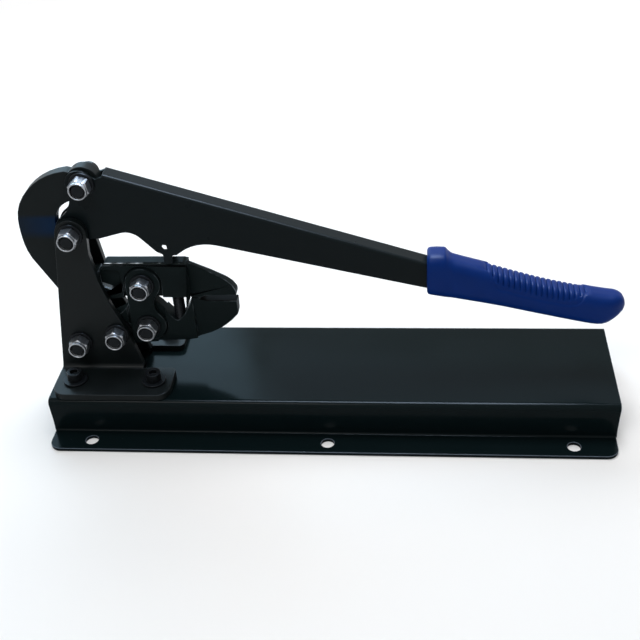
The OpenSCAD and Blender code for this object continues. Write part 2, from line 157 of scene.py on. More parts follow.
base_paint, tree, place = start_material("gloss black powder coat")
peel = add(tree, "ShaderNodeTexNoise", {"Vector": place, "Scale": 1 / (1.6 * MM), "Detail": 2.0})
cloud = add(tree, "ShaderNodeTexNoise", {"Vector": place, "Scale": 1 / (45 * MM), "Detail": 4.0})
speck = add(tree, "ShaderNodeTexVoronoi", {"Vector": place, "Scale": 1 / (5 * MM)})
dust = add(tree, "ShaderNodeMapRange", {"Value": speck.outputs["Distance"], "From Min": 0.05,
                                        "From Max": 0.03, "To Min": 0.0, "To Max": 0.5})
tint = add(tree, "ShaderNodeMix", {"Factor": dust.outputs[0], "A": colour("#0a1416"),
                                   "B": colour("#3a4349")}, data_type="RGBA")
# Painted highlight: the rounded folds and cut edges are tinted grey-blue, partly as thinner coat
# and partly standing in for light caught along them.
edge = add(tree, "ShaderNodeAttribute", attribute_name="edge")
tint = add(tree, "ShaderNodeMix", {"Factor": edge.outputs["Fac"], "A": tint.outputs["Result"],
                                   "B": colour("#525c67")}, data_type="RGBA")
rough = add(tree, "ShaderNodeMapRange", {"Value": cloud.outputs["Fac"], "From Min": 0.3,
                                         "From Max": 0.7, "To Min": 0.1, "To Max": 0.2})
bump = add(tree, "ShaderNodeBump", {"Height": peel.outputs["Fac"], "Strength": 0.06,
                                    "Distance": 0.05 * MM})
end_material(tree, add(tree, "ShaderNodeBsdfPrincipled", {
    "Base Color": tint.outputs["Result"], "Roughness": rough.outputs[0],
    "Normal": bump.outputs[0], "IOR": 1.5, "Specular IOR Level": 0.045}))

fit(softened("base", "base_channel", 0.35), "stand", base_paint, "base_channel")

# Frame: two mirrored plates of 4.5 mm steel, laser cut, each with its foot folded outwards.
# They are sprayed in satin black and screwed down on the base through their feet.

# The spray dries to an even black, duller than the base and with a fine dry grain. The grain is
# finer in life, and is drawn 0.9 mm coarse so that it shows.

frame_paint, tree, place = start_material("satin black paint on steel plate")
grain = add(tree, "ShaderNodeTexNoise", {"Vector": place, "Scale": 1 / (0.9 * MM), "Detail": 3.0})
cloud = add(tree, "ShaderNodeTexNoise", {"Vector": place, "Scale": 1 / (18 * MM), "Detail": 5.0})
# Painted highlight: the rounded edges are tinted greyer in patches, partly as thinner paint and
# partly standing in for light caught along them.
edge = add(tree, "ShaderNodeAttribute", attribute_name="edge")
thin_paint_and_highlight = add(tree, "ShaderNodeMath", {0: edge.outputs["Fac"], 1: cloud.outputs["Fac"]},
           operation="MULTIPLY")
tint = add(tree, "ShaderNodeMix", {"Factor": thin_paint_and_highlight.outputs[0], "A": colour("#101516"),
                                   "B": colour("#22282b")}, data_type="RGBA")
rough = add(tree, "ShaderNodeMapRange", {"Value": cloud.outputs["Fac"], "From Min": 0.3,
                                         "From Max": 0.7, "To Min": 0.3, "To Max": 0.42})
bump = add(tree, "ShaderNodeBump", {"Height": grain.outputs["Fac"], "Strength": 0.12,
                                    "Distance": 0.05 * MM})
end_material(tree, add(tree, "ShaderNodeBsdfPrincipled", {
    "Base Color": tint.outputs["Result"], "Roughness": rough.outputs[0],
    "Normal": bump.outputs[0], "IOR": 1.5, "Specular IOR Level": 0.1}))

for side in ("front", "rear"):
    node = "frame_plate_" + side
    fit(softened("frame_" + side, node, 0.4), "stand", frame_paint, node)

# Jaws and link plates: the jaws are drop-forged and milled, the link plates are cut from plate.
# The lower jaw is clamped in the frame, and the upper one rocks between the link plates.

JAW_FACE = 5.4
JAW_TOP = 110

# The rubbed track fades in between these distances in from the jaw's face and down from its top.

TRACK_IN = (1.3, 0.9)
TRACK_DOWN = (0.7, 0.4)

# A hot phosphate bath leaves a dull black with a fine grain, and corners rub through it to grey
# steel. The crystals are far finer than a pixel, so the grain is drawn at 0.6 mm. The handle's
# lug polishes a narrow track along the upper jaw's top, and the floor of the die slot is painted
# near-black as painted shade, for the shadow deep in the die cavity.

jaw_black, tree, place = start_material("phosphated forged steel")
grain = add(tree, "ShaderNodeTexNoise", {"Vector": place, "Scale": 1 / (0.6 * MM), "Detail": 4.0})
cloud = add(tree, "ShaderNodeTexNoise", {"Vector": place, "Scale": 1 / (9 * MM), "Detail": 5.0})
edge = add(tree, "ShaderNodeAttribute", attribute_name="edge")
rub = add(tree, "ShaderNodeMapRange", {"Value": cloud.outputs["Fac"], "From Min": 0.45,
                                       "From Max": 0.7, "To Min": 0.0, "To Max": 0.9})
split = add(tree, "ShaderNodeSeparateXYZ", {0: place})
aside = add(tree, "ShaderNodeMath", {0: split.outputs["Y"]}, operation="ABSOLUTE")
outer = add(tree, "ShaderNodeMapRange", {
    "Value": aside.outputs[0], "From Min": (JAW_FACE - TRACK_IN[0]) * MM,
    "From Max": (JAW_FACE - TRACK_IN[1]) * MM, "To Max": 5.0})
high = add(tree, "ShaderNodeMapRange", {
    "Value": split.outputs["Z"], "From Min": (JAW_TOP - TRACK_DOWN[0]) * MM,
    "From Max": (JAW_TOP - TRACK_DOWN[1]) * MM})
track = add(tree, "ShaderNodeMath", {0: outer.outputs[0], 1: high.outputs[0]},
            operation="MULTIPLY")
corner = add(tree, "ShaderNodeMath", {0: edge.outputs["Fac"], 1: track.outputs[0]},
             operation="MAXIMUM")
wear_and_shade = add(tree, "ShaderNodeMath", {0: corner.outputs[0], 1: rub.outputs[0]},
           operation="MULTIPLY")
tint = add(tree, "ShaderNodeMix", {"Factor": wear_and_shade.outputs[0], "A": colour("#151c1d"),
                                   "B": colour("#5f676c")}, data_type="RGBA")
polished = add(tree, "ShaderNodeMath", {0: track.outputs[0], 1: rub.outputs[0]},
               operation="MULTIPLY", use_clamp=True)
tint = add(tree, "ShaderNodeMix", {"Factor": polished.outputs[0], "A": tint.outputs["Result"],
                                   "B": colour("#c4ccd2")}, data_type="RGBA")
# Painted shade: faces that carry the slot's value are darkened to near-black, standing in for the
# shadow inside the die slot.
slot_shade = add(tree, "ShaderNodeMapRange", {"Value": edge.outputs["Fac"], "From Min": 0.0,
                                          "From Max": -1.0})
tint = add(tree, "ShaderNodeMix", {"Factor": slot_shade.outputs[0], "A": tint.outputs["Result"],
                                   "B": colour("#030404")}, data_type="RGBA")
rough = add(tree, "ShaderNodeMapRange", {"Value": cloud.outputs["Fac"], "From Min": 0.3,
                                         "From Max": 0.7, "To Min": 0.3, "To Max": 0.48})
bump = add(tree, "ShaderNodeBump", {"Height": grain.outputs["Fac"], "Strength": 0.2,
                                    "Distance": 0.04 * MM})
end_material(tree, add(tree, "ShaderNodeBsdfPrincipled", {
    "Base Color": tint.outputs["Result"], "Roughness": rough.outputs[0],
    "Metallic": wear_and_shade.outputs[0], "Normal": bump.outputs[0], "IOR": 1.5,
    "Specular IOR Level": 0.02}))

# Values of the edge attribute for polished faces and for the slot floor's painted shade, and where
# the slot's floor lies.

BRIGHT = 2.5
SLOT_SHADE = -1.0
SLOT_INNER_END = -85
SLOT_FLOOR = (80, 82.2)
LEVEL = 0.9


def shaded_slot_floor(face):
    """The painted-shade value on the floor of the die slot, which is painted near-black as shade.
    """
    x, y, z = face.calc_center_median() / MM
    if x > SLOT_INNER_END and SLOT_FLOOR[0] < z < SLOT_FLOOR[1] and face.normal.z > LEVEL:
        return SLOT_SHADE
    return None


fit(softened("jaw_fixed", "lower_jaw", 0.35, wear_and_shade_of=shaded_slot_floor), "stand", jaw_black,
    "lower_jaw")

# Each side of the upper jaw has a forged pocket, whose lower wall runs between these two points
# and is drafted, so that it catches the light. The other values say which faces count as the
# drafted wall and as the rim of the jaw's top.

POCKET_LEFT = (-148.4, 94.2)
POCKET_RIGHT = (-134.4, 88.3)
POCKET_FLOOR = 2.6
DRAFT_DROP = 1.5
DRAFT_REACH = 0.6
DRAFT_WALL = (-1.4, 0.4)
DRAFT_LEAN = 0.4
ON_FACE = 0.05
RIM_DEPTH = 1.2
RIM_LEAN = (0.78, 0.95)


def above_pocket_foot(x, z):
    """Height in mm of a point over the line of the pocket's lower wall, or None beside it."""
    share = (x / MM - POCKET_LEFT[0]) / (POCKET_RIGHT[0] - POCKET_LEFT[0])
    if share < 0 or share > 1:
        return None
    return z / MM - POCKET_LEFT[1] - share * (POCKET_RIGHT[1] - POCKET_LEFT[1])


def draft_pocket(shape):
    """Slopes the lower wall of the pocket in each side of the jaw, as the forging die left it."""
    for vert in shape.verts:
        over = above_pocket_foot(vert.co.x, vert.co.z)
        if over is None or abs(over) >= DRAFT_REACH:
            continue
        if abs(abs(vert.co.y) / MM - JAW_FACE) < ON_FACE:
            vert.co.z -= DRAFT_DROP * MM


def rubbed(face):
    """BRIGHT on the pocket's lower wall and along the jaw's upper edges, where the lug slides."""
    x, y, z = face.calc_center_median()
    over = above_pocket_foot(x, z)
    if (over is not None and DRAFT_WALL[0] < over < DRAFT_WALL[1]
            and face.normal.z > DRAFT_LEAN):
        return BRIGHT if POCKET_FLOOR < abs(y) / MM < JAW_FACE else None
    if z / MM > JAW_TOP - RIM_DEPTH and RIM_LEAN[0] < face.normal.z < RIM_LEAN[1]:
        return BRIGHT
    return None


fit(softened("jaw_moving", "upper_jaw", 0.35, reshape=draft_pocket, wear_and_shade_of=rubbed), "jaw",
    jaw_black, "upper_jaw")
for side in ("front", "rear"):
    node = "link_plate_" + side
    fit(softened("jaw_link_" + side, node, 0.35), "stand", jaw_black, node)

# Toggle link: one 8 mm steel plate, laser cut to a C that wraps round the handle's pivot.
# It is bolted between the handle's walls and pushes the upper jaw's tail.

# Satin black paint like the frame's, with a plain dark blue band across the back that fades
# towards the rim. The cut edges are tinted greyer, partly as rubbed-through coat and partly as a
# painted highlight.

BAND_FOOT = (127.5, 133.5)
BAND_TOP = (145.5, 142.5)
BAND_ENDS = (-199, -173)
link_paint, tree, place = start_material("satin black paint with a blue band")
split = add(tree, "ShaderNodeSeparateXYZ", {0: place})
grain = add(tree, "ShaderNodeTexNoise", {"Vector": place, "Scale": 1 / (0.9 * MM), "Detail": 3.0})
cloud = add(tree, "ShaderNodeTexNoise", {"Vector": place, "Scale": 1 / (12 * MM), "Detail": 5.0})
above = add(tree, "ShaderNodeMapRange", {
    "Value": split.outputs["Z"], "From Min": BAND_FOOT[0] * MM, "From Max": BAND_FOOT[1] * MM})
below = add(tree, "ShaderNodeMapRange", {
    "Value": split.outputs["Z"], "From Min": BAND_TOP[0] * MM, "From Max": BAND_TOP[1] * MM})
strip = add(tree, "ShaderNodeMath", {0: above.outputs[0], 1: below.outputs[0]},
            operation="MULTIPLY")
fade = add(tree, "ShaderNodeMapRange", {
    "Value": split.outputs["X"], "From Min": BAND_ENDS[0] * MM, "From Max": BAND_ENDS[1] * MM,
    "To Min": 0.1, "To Max": 1.0})
band = add(tree, "ShaderNodeMath", {0: strip.outputs[0], 1: fade.outputs[0]},
           operation="MULTIPLY")
# Painted highlight: the cut edges are tinted greyer in patches, partly as rubbed-through coat and
# partly standing in for light caught along the rim.
edge = add(tree, "ShaderNodeAttribute", attribute_name="edge")
thin_paint_and_highlight = add(tree, "ShaderNodeMath", {0: edge.outputs["Fac"], 1: cloud.outputs["Fac"]},
           operation="MULTIPLY")
black = add(tree, "ShaderNodeMix", {"Factor": thin_paint_and_highlight.outputs[0], "A": colour("#161b1c"),
                                    "B": colour("#2b3033")}, data_type="RGBA")
tint = add(tree, "ShaderNodeMix", {"Factor": band.outputs[0], "A": black.outputs["Result"],
                                   "B": colour("#04203c")}, data_type="RGBA")
bump = add(tree, "ShaderNodeBump", {"Height": grain.outputs["Fac"], "Strength": 0.12,
                                    "Distance": 0.05 * MM})
end_material(tree, add(tree, "ShaderNodeBsdfPrincipled", {
    "Base Color": tint.outputs["Result"], "Roughness": 0.36, "Normal": bump.outputs[0],
    "IOR": 1.5, "Specular IOR Level": 0.06}))

fit(softened("toggle_link_plate", "toggle_link", 0.5, segments=3), "toggle",
    link_paint, "toggle_link")

# Handle: a tapered channel folded from 2.3 mm steel sheet, open below, with a round eye at the
# pivot and a drilled lug that meets the upper jaw. It turns on a bush in the frame.

# Semi-gloss black paint: smoother than the frame's, so the folded edge draws a band of light.
# Its orange peel is 1.3 mm wide.

handle_paint, tree, place = start_material("semi-gloss black paint")
peel = add(tree, "ShaderNodeTexNoise", {"Vector": place, "Scale": 1 / (1.3 * MM), "Detail": 2.0})
cloud = add(tree, "ShaderNodeTexNoise", {"Vector": place, "Scale": 1 / (30 * MM), "Detail": 4.0})
# Painted highlight: the rounded edges are tinted greyer in patches, standing in for light along the
# folds, with a little rubbed-through paint.
edge = add(tree, "ShaderNodeAttribute", attribute_name="edge")
thin_paint_and_highlight = add(tree, "ShaderNodeMath", {0: edge.outputs["Fac"], 1: cloud.outputs["Fac"]},
           operation="MULTIPLY")
tint = add(tree, "ShaderNodeMix", {"Factor": thin_paint_and_highlight.outputs[0], "A": colour("#0e1517"),
                                   "B": colour("#2a3034")}, data_type="RGBA")
rough = add(tree, "ShaderNodeMapRange", {"Value": cloud.outputs["Fac"], "From Min": 0.3,
                                         "From Max": 0.7, "To Min": 0.26, "To Max": 0.36})
bump = add(tree, "ShaderNodeBump", {"Height": peel.outputs["Fac"], "Strength": 0.08,
                                    "Distance": 0.05 * MM})
end_material(tree, add(tree, "ShaderNodeBsdfPrincipled", {
    "Base Color": tint.outputs["Result"], "Roughness": rough.outputs[0],
    "Normal": bump.outputs[0], "IOR": 1.5, "Specular IOR Level": 0.06}))

fit(softened("handle_sheet", "handle_channel", 0.3), "handle", handle_paint,
    "handle_channel")

# Pins and bolts: hexagon bolts that clamp the frame, jaws and link plates, with spacers beside
# the lower jaw. The handle's bush and the toggle pin are turned and ground.

# Black oxide: bolt heads and ends keep a dull, oily sheen, cloudy at a scale of 6 mm.

black_oxide, tree, place = start_material("black oxide on steel")
haze = add(tree, "ShaderNodeTexNoise", {"Vector": place, "Scale": 1 / (6 * MM), "Detail": 2.0})
rough = add(tree, "ShaderNodeMapRange", {"Value": haze.outputs["Fac"], "From Min": 0.3,
                                         "From Max": 0.7, "To Min": 0.34, "To Max": 0.42})
tint = add(tree, "ShaderNodeMix", {"Factor": haze.outputs["Fac"], "A": colour("#111416"),
                                   "B": colour("#1a1d20")}, data_type="RGBA")
end_material(tree, add(tree, "ShaderNodeBsdfPrincipled", {
    "Base Color": tint.outputs["Result"], "Roughness": rough.outputs[0], "Metallic": 0.6,
    "Specular IOR Level": 0.15}))

# Ground steel: bare grey metal with a soft shine. The wheel's marks are drawn as a mottle 0.8 mm
# wide, far coarser than in life, so that they show.

ground_steel, tree, place = start_material("ground steel")
marks = add(tree, "ShaderNodeTexNoise", {"Vector": place, "Scale": 1 / (0.8 * MM), "Detail": 3.0})
tint = add(tree, "ShaderNodeMix", {"Factor": marks.outputs["Fac"], "A": colour("#8b8f93"),
                                   "B": colour("#b4b8bc")}, data_type="RGBA")
end_material(tree, add(tree, "ShaderNodeBsdfPrincipled", {
    "Base Color": tint.outputs["Result"], "Roughness": 0.3, "Metallic": 1.0}))

for name, node, body, slot, finish, round_mm in (
        ("bolts_frame", "frame_bolts", "stand", "black_oxide", black_oxide, 0.25),
        ("bolts_jaws", "jaw_bolts", "stand", "black_oxide", black_oxide, 0.25),
        ("bolt_toggle", "toggle_bolt", "handle", "black_oxide", black_oxide, 0.25),
        ("spacers", "jaw_spacers", "stand", "black_oxide", black_oxide, 0.2),
        ("bush", "pivot_bush", "stand", "bare_steel", ground_steel, 0.3),
        ("toggle_pin_rod", "toggle_pin", "jaw", "bare_steel", ground_steel, 0.4)):
    fit(softened(name, node, round_mm), body, finish, node)

# Nuts, washers and foot screws: bought hardware, M8 on the pivots and M6 in the feet. The
# self-locking nuts and the foot nuts are zinc plated, the rest is black. Each kind of nut and
# washer is turned once, then a tree sets it on every seat, the nuts each at an angle of their own,
# as a spanner leaves them.

NUT_CREASE_DEG = 28


def join_rings(shape, rings):
    """Skins a shape between each ring of points and the next."""
    for low, high in zip(rings, rings[1:]):
        for k in range(len(low)):
            j = (k + 1) % len(low)
            shape.faces.new((low[k], low[j], high[j], high[k]))


def turned(name, profile, flats=None, points=72):
    """A ring turned about +Z from (radius, height, hexed) rows in mm. Rows marked True are cut to
    a hexagon whose width across flats is flats."""
    shape = bmesh.new()
    rings = []
    for radius, height, hexed in profile:
        ring = []
        for i in range(points):
            a = 2 * math.pi * i / points
            off = (a % (math.pi / 3)) - math.pi / 6
            r = min(radius, flats / 2 / math.cos(off)) if hexed else radius
            ring.append(shape.verts.new((r * math.cos(a) * MM, r * math.sin(a) * MM, height * MM)))
        rings.append(ring)
    join_rings(shape, rings + rings[:1])
    bmesh.ops.recalc_face_normals(shape, faces=shape.faces)
    return finished_mesh(name, shape, NUT_CREASE_DEG)


def seat_tree():
    """A tree that sets a copy of a piece on each point, turned about the point's own axis."""
    tree = bpy.data.node_groups.new("set on seats", "GeometryNodeTree")
    for label, kind in (("Geometry", "NodeSocketGeometry"), ("Piece", "NodeSocketObject"),
                        ("Finish", "NodeSocketMaterial"), ("Lean", "NodeSocketVector"),
                        ("Greatest turn", "NodeSocketFloat"), ("Seed", "NodeSocketInt")):
        tree.interface.new_socket(name=label, in_out="INPUT", socket_type=kind)
    tree.interface.new_socket(name="Geometry", in_out="OUTPUT", socket_type="NodeSocketGeometry")
    given = add(tree, "NodeGroupInput").outputs
    part = add(tree, "GeometryNodeObjectInfo", {"Object": given["Piece"]})
    turn = add(tree, "FunctionNodeRandomValue", {"Max": given["Greatest turn"],
                                                 "Seed": given["Seed"]})
    spin = add(tree, "ShaderNodeCombineXYZ", {"Z": turn.outputs["Value"]})
    copies = add(tree, "GeometryNodeInstanceOnPoints", {
        "Points": given["Geometry"], "Instance": part.outputs["Geometry"],
        "Rotation": given["Lean"]})
    turned_copies = add(tree, "GeometryNodeRotateInstances", {
        "Instances": copies.outputs[0], "Rotation": spin.outputs[0]})
    real = add(tree, "GeometryNodeRealizeInstances", {0: turned_copies.outputs[0]})
    done = add(tree, "GeometryNodeSetMaterial", {"Geometry": real.outputs[0],
                                                 "Material": given["Finish"]})
    add(tree, "NodeGroupOutput", {"Geometry": done.outputs[0]})
    return tree


set_on_seats = seat_tree()


def set_hardware(name, shape, seats, body, material, node, facing=(0, 0, 0), turn=0.0,
                 seed=1):
    """Sets copies of a turned shape on seats, given in mm, and stands them in for a CAD node."""
    pattern = placed(name + "_pattern", shape)
    points = bpy.data.meshes.new(name)
    points.from_pydata([Vector(s) * MM for s in seats], [], [])
    piece = placed(name, points)
    work = piece.modifiers.new("seats", "NODES")
    work.node_group = set_on_seats
    sockets = set_on_seats.interface.items_tree
    socket = {s.name: s.identifier for s in sockets if s.in_out == "INPUT"}
    for label, value in (("Piece", pattern), ("Finish", material), ("Lean", facing),
                         ("Greatest turn", turn), ("Seed", seed)):
        work[socket[label]] = value
    settled(piece)
    bpy.data.objects.remove(pattern)
    fit(piece, body, material, node)


# Bright zinc plate: pale, slightly cold metal whose facets and collars catch the lamps, with a
# fine haze where the plating varies, about 1.5 mm wide.

zinc, tree, place = start_material("bright zinc plate")
haze = add(tree, "ShaderNodeTexNoise", {"Vector": place, "Scale": 1 / (1.5 * MM), "Detail": 3.0})
rough = add(tree, "ShaderNodeMapRange", {"Value": haze.outputs["Fac"], "From Min": 0.3,
                                         "From Max": 0.7, "To Min": 0.28, "To Max": 0.4})
tint = add(tree, "ShaderNodeMix", {"Factor": haze.outputs["Fac"], "A": colour("#84878b"),
                                   "B": colour("#a1a4a8")}, data_type="RGBA")
end_material(tree, add(tree, "ShaderNodeBsdfPrincipled", {
    "Base Color": tint.outputs["Result"], "Roughness": rough.outputs[0], "Metallic": 1.0}))

FRONT = (math.pi / 2, 0, 0)
PIVOT = (-159, 135)
JAW_BOLTS = [(-167, 52.8), (-141, 59.2)]
LINK_BOLTS = [(-120, 95), (-120, 63)]
TOGGLE_BOLT = (-147, 168)
FRAME_FACE = 12.1
LINK_FACE = 7.2
HANDLE_FACE = 6.6
WASHER_T = 1.6
NUT_FLATS = 12
nut = turned("lock_nut", [
    (4.05, 0, False), (5.6, 0, False), (5.95, 0.2, True), (7, 0.8, True), (7, 6.5, True),
    (6.1, 7.1, True), (5.85, 7.2, False), (5.85, 8.8, False), (5.7, 9.2, False),
    (5.4, 9.4, False), (5.05, 9.35, False), (4.85, 9.1, False), (4.75, 8.2, False),
    (4.05, 7.2, False)], NUT_FLATS)
plain_washer = turned("plain_washer", [
    (4.2, 0, False), (7.8, 0, False), (8, 0.2, False), (8, 0.9, False), (7.93, 1.25, False),
    (7.75, 1.49, False), (7.4, 1.6, False), (4.2, 1.6, False)])
frame_seats = [PIVOT] + JAW_BOLTS


def both_faces(places, face):
    """Seats on the front face and on the rear face, for washers that all face front."""
    return [(x, -face, z) for x, z in places] + [(x, face + WASHER_T, z) for x, z in places]


for name, node, body, places, face, seed in (
        ("nuts_frame", "frame_nuts", "stand", frame_seats, FRAME_FACE, 4),
        ("nuts_jaws", "jaw_nuts", "stand", LINK_BOLTS, LINK_FACE, 9),
        ("nut_toggle", "toggle_nut", "handle", [TOGGLE_BOLT], HANDLE_FACE, 2)):
    set_hardware(name, nut, [(x, -face - WASHER_T, z) for x, z in places], body, zinc,
                 node, FRONT, math.pi, seed)
for name, node, body, places, face in (
        ("washers_frame", "frame_washers", "stand", frame_seats, FRAME_FACE),
        ("washers_jaws", "jaw_washers", "stand", LINK_BOLTS, LINK_FACE),
        ("washers_toggle", "toggle_washers", "handle", [TOGGLE_BOLT], HANDLE_FACE)):
    set_hardware(name, plain_washer, both_faces(places, face), body, black_oxide,
                 node, FRONT)

BASE_TOP = 27.2
FOOT_TOP = 31.7
SHEET_T = 2.5
FOOT_NUT_T = 5.1
FOOT_NUT_FLATS = 10
FOOT_SCREWS_X = (-170.5, -116.8)
FOOT_SCREWS_Y = (-27.5, 27.5)
foot_seats = [(x, y) for x in FOOT_SCREWS_X for y in FOOT_SCREWS_Y]
foot_washer = turned("foot_washer", [
    (3.2, 0, False), (7.8, 0, False), (8, 0.2, False), (8, 1.4, False), (7.8, 1.6, False),
    (3.2, 1.6, False)])
foot_nut = turned("foot_nut", [
    (3.05, 0, False), (4.7, 0, False), (5.8, 0.7, True), (5.8, 4.4, True),
    (4.7, FOOT_NUT_T, False), (3.05, FOOT_NUT_T, False)], FOOT_NUT_FLATS)
foot_nut_z = BASE_TOP - SHEET_T - FOOT_NUT_T
set_hardware("foot_washer_set", foot_washer, [(x, y, FOOT_TOP) for x, y in foot_seats], "stand",
             black_oxide, "foot_washers")
set_hardware("foot_nut_set", foot_nut, [(x, y, foot_nut_z) for x, y in foot_seats], "stand",
             zinc, "foot_nuts", turn=math.pi, seed=3)
fit(softened("foot_screw_set", "foot_screws", 0.35), "stand", black_oxide,
    "foot_screws")

# Stop screw: a black M8 set screw with a rolled thread, tapped into the lower jaw at the throat.
# The upper jaw lands on it, so it sets how far the jaws close.

STOP_X = -99.5
STOP_R = 3.9
STOP_FOOT = 60
STOP_TOP = 83.2
PITCH = 1.25
STEPS_PER_TURN = 8
THREAD_DEPTH = 0.62
THREAD_CUT = 0.8
CREST = 0.12
END_CUT = 1.1
END_SLOPE = 2
THREAD_CREASE_DEG = 40


def threaded_rod(name, x, radius, foot, top, pitch, points=40):
    """An upright rod with a rolled thread: each ring's radius follows the helix at its height."""
    shape = bmesh.new()
    rings = []
    count = int((top - foot) / pitch * STEPS_PER_TURN)
    for i in range(count + 1):
        z = foot + (top - foot) * i / count
        ring = []
        for k in range(points):
            wave = abs(((z / pitch - k / points) % 1) * 2 - 1)
            r = radius - THREAD_DEPTH * pitch * max(CREST, wave) * THREAD_CUT
            r = min(r, radius - END_CUT + END_SLOPE * max(0.0, top - z))
            a = 2 * math.pi * k / points
            ring.append(shape.verts.new(((x + r * math.cos(a)) * MM, r * math.sin(a) * MM, z * MM)))
        rings.append(ring)
    join_rings(shape, rings)
    shape.faces.new(list(reversed(rings[0])))
    shape.faces.new(rings[-1])
    return placed(name, finished_mesh(name, shape, THREAD_CREASE_DEG))


fit(threaded_rod("stop_screw_rod", STOP_X, STOP_R, STOP_FOOT, STOP_TOP, PITCH), "stand",
    black_oxide, "stop_screw")

# Grip: a sleeve moulded in blue soft plastic and pushed on the handle's end, with a raised
# collar, a sunk panel of rounded ribs over its back and a full, rounded end. Its outline is
# given in mm by rows of x and height, or x and half width.

GRIP_TOP = [(64, 113.6), (64.6, 114.9), (66.5, 115.6), (75, 115.6), (77.4, 113.2), (80, 111.4),
            (100, 105.3), (136, 94), (165, 87), (178, 84.6), (183, 84.1), (186.4, 82.6),
            (188.4, 79.8), (189.2, 76.6)]
GRIP_FOOT = [(64, 88.4), (64.6, 86.9), (66.5, 86.1), (83, 82.9), (110, 77.4), (137, 71),
             (160, 65.8), (171, 63.8), (177, 64.3), (183.4, 68.6), (187, 72), (188.4, 74),
             (189.2, 75.6)]
GRIP_HALF = [(64, 9.6), (64.6, 10.5), (66.5, 10.9), (75, 11), (77.4, 10.6), (80, 9.9), (136, 9.5),
             (170, 9.9), (178, 9.5), (183, 8), (187, 5.2), (188.4, 3), (189.2, 0.4)]
RIB_FIRST = 101.5
RIB_LAST = 163.5
RIB_COUNT = 18
RINGS_PER_RIB = 10
RIB_DEPTH = 1.0
RIB_FULLNESS = 0.45
PANEL_SINK = 0.6
PANEL_FADE = 2.5
RIB_FADE = 7
ROUNDNESS = 0.62
CROWDING = 1.4
GRIP_CREASE_DEG = 60

# Angles up from the grip's side at which the panel and the ribs begin, by share of their length.

PANEL_EDGE = [(0, 62), (0.04, 36), (0.09, 7), (0.2, 1.5), (0.8, 1), (0.9, 6), (0.96, 24),
              (1, 66)]
RIB_ENDS = [(0, 66), (0.05, 42), (0.1, 19), (0.3, 13), (0.75, 12), (0.85, 21), (0.93, 42),
            (1, 75)]


def along(table, x):
    """The value at x of a smooth curve through a table's points."""
    if x <= table[0][0]:
        return table[0][1]
    for i in range(len(table) - 1):
        (x0, v0), (x1, v1) = table[i], table[i + 1]
        if x <= x1:
            before = table[max(i - 1, 0)]
            after = table[min(i + 2, len(table) - 1)]
            t = (x - x0) / (x1 - x0)
            m0 = (v1 - before[1]) / (x1 - before[0]) * (x1 - x0)
            m1 = (after[1] - v0) / (after[0] - x0) * (x1 - x0)
            return ((2 * t**3 - 3 * t**2 + 1) * v0 + (t**3 - 2 * t**2 + t) * m0
                    + (3 * t**2 - 2 * t**3) * v1 + (t**3 - t**2) * m1)
    return table[-1][1]


def inside(outline, fade, x, a):
    """How far a point lies above an outline on the grip's side: 1 well above it, 0 below. a is
    the point's angle up from the side, and fade is the angle over which the share rises."""
    share = (x - RIB_FIRST) / (RIB_LAST - RIB_FIRST)
    if share < 0 or share > 1:
        return 0.0
    over = math.degrees(math.asin(max(-1.0, min(1.0, math.sin(a)))))
    return max(0.0, min(1.0, (over - along(outline, share)) / fade))


def grip_mesh(points=144):
    """The sleeve as rings along x: crowded at the collar, ten to a rib, and crowded at the end."""
    rib_pitch = (RIB_LAST - RIB_FIRST) / RIB_COUNT
    stations = [64, 64.15, 64.6, 65.4, 66.5, 70, 74.5, 75.5, 76.3, 77.1, 78, 79, 80, 81.5, 84,
                88, 94, 99]
    stations += [RIB_FIRST + rib_pitch * i / RINGS_PER_RIB
                 for i in range(RIB_COUNT * RINGS_PER_RIB + 1)]
    stations += [165, 168, 172, 175, 177.5, 179.5, 181.2, 182.7, 184, 185.2, 186.3, 187.2, 188,
                 188.6, 189, 189.2]
    shape = bmesh.new()
    rings = []
    for x in stations:
        top, foot, half = along(GRIP_TOP, x), along(GRIP_FOOT, x), along(GRIP_HALF, x)
        mid, rise = (top + foot) / 2, (top - foot) / 2
        phase = (x - RIB_FIRST) / rib_pitch
        lobe = abs(math.sin(math.pi * phase)) ** RIB_FULLNESS
        ring = []
        for k in range(points):
            quarter, s = divmod(4 * k / points, 1)
            a = math.pi / 2 * (quarter + s**CROWDING / (s**CROWDING + (1 - s)**CROWDING))
            cut = (inside(PANEL_EDGE, PANEL_FADE, x, a) * PANEL_SINK
                   + inside(RIB_ENDS, RIB_FADE, x, a) * RIB_DEPTH * (1 - lobe))
            y = math.copysign(abs(math.cos(a)) ** ROUNDNESS, math.cos(a))
            z = math.copysign(abs(math.sin(a)) ** ROUNDNESS, math.sin(a))
            ring.append(shape.verts.new((x * MM, (half - cut) * y * MM,
                                         (mid + (rise - cut) * z) * MM)))
        rings.append(ring)
    join_rings(shape, rings)
    shape.faces.new(rings[0])
    shape.faces.new(list(reversed(rings[-1])))
    bmesh.ops.recalc_face_normals(shape, faces=shape.faces)
    return finished_mesh("grip_sleeve", shape, GRIP_CREASE_DEG)


# Soft plastic, moulded: a deep, slightly dull blue with broad, soft highlights along the ribs.
# The mould's leather grain is drawn at 0.7 mm, and the colour drifts a little over 14 mm.

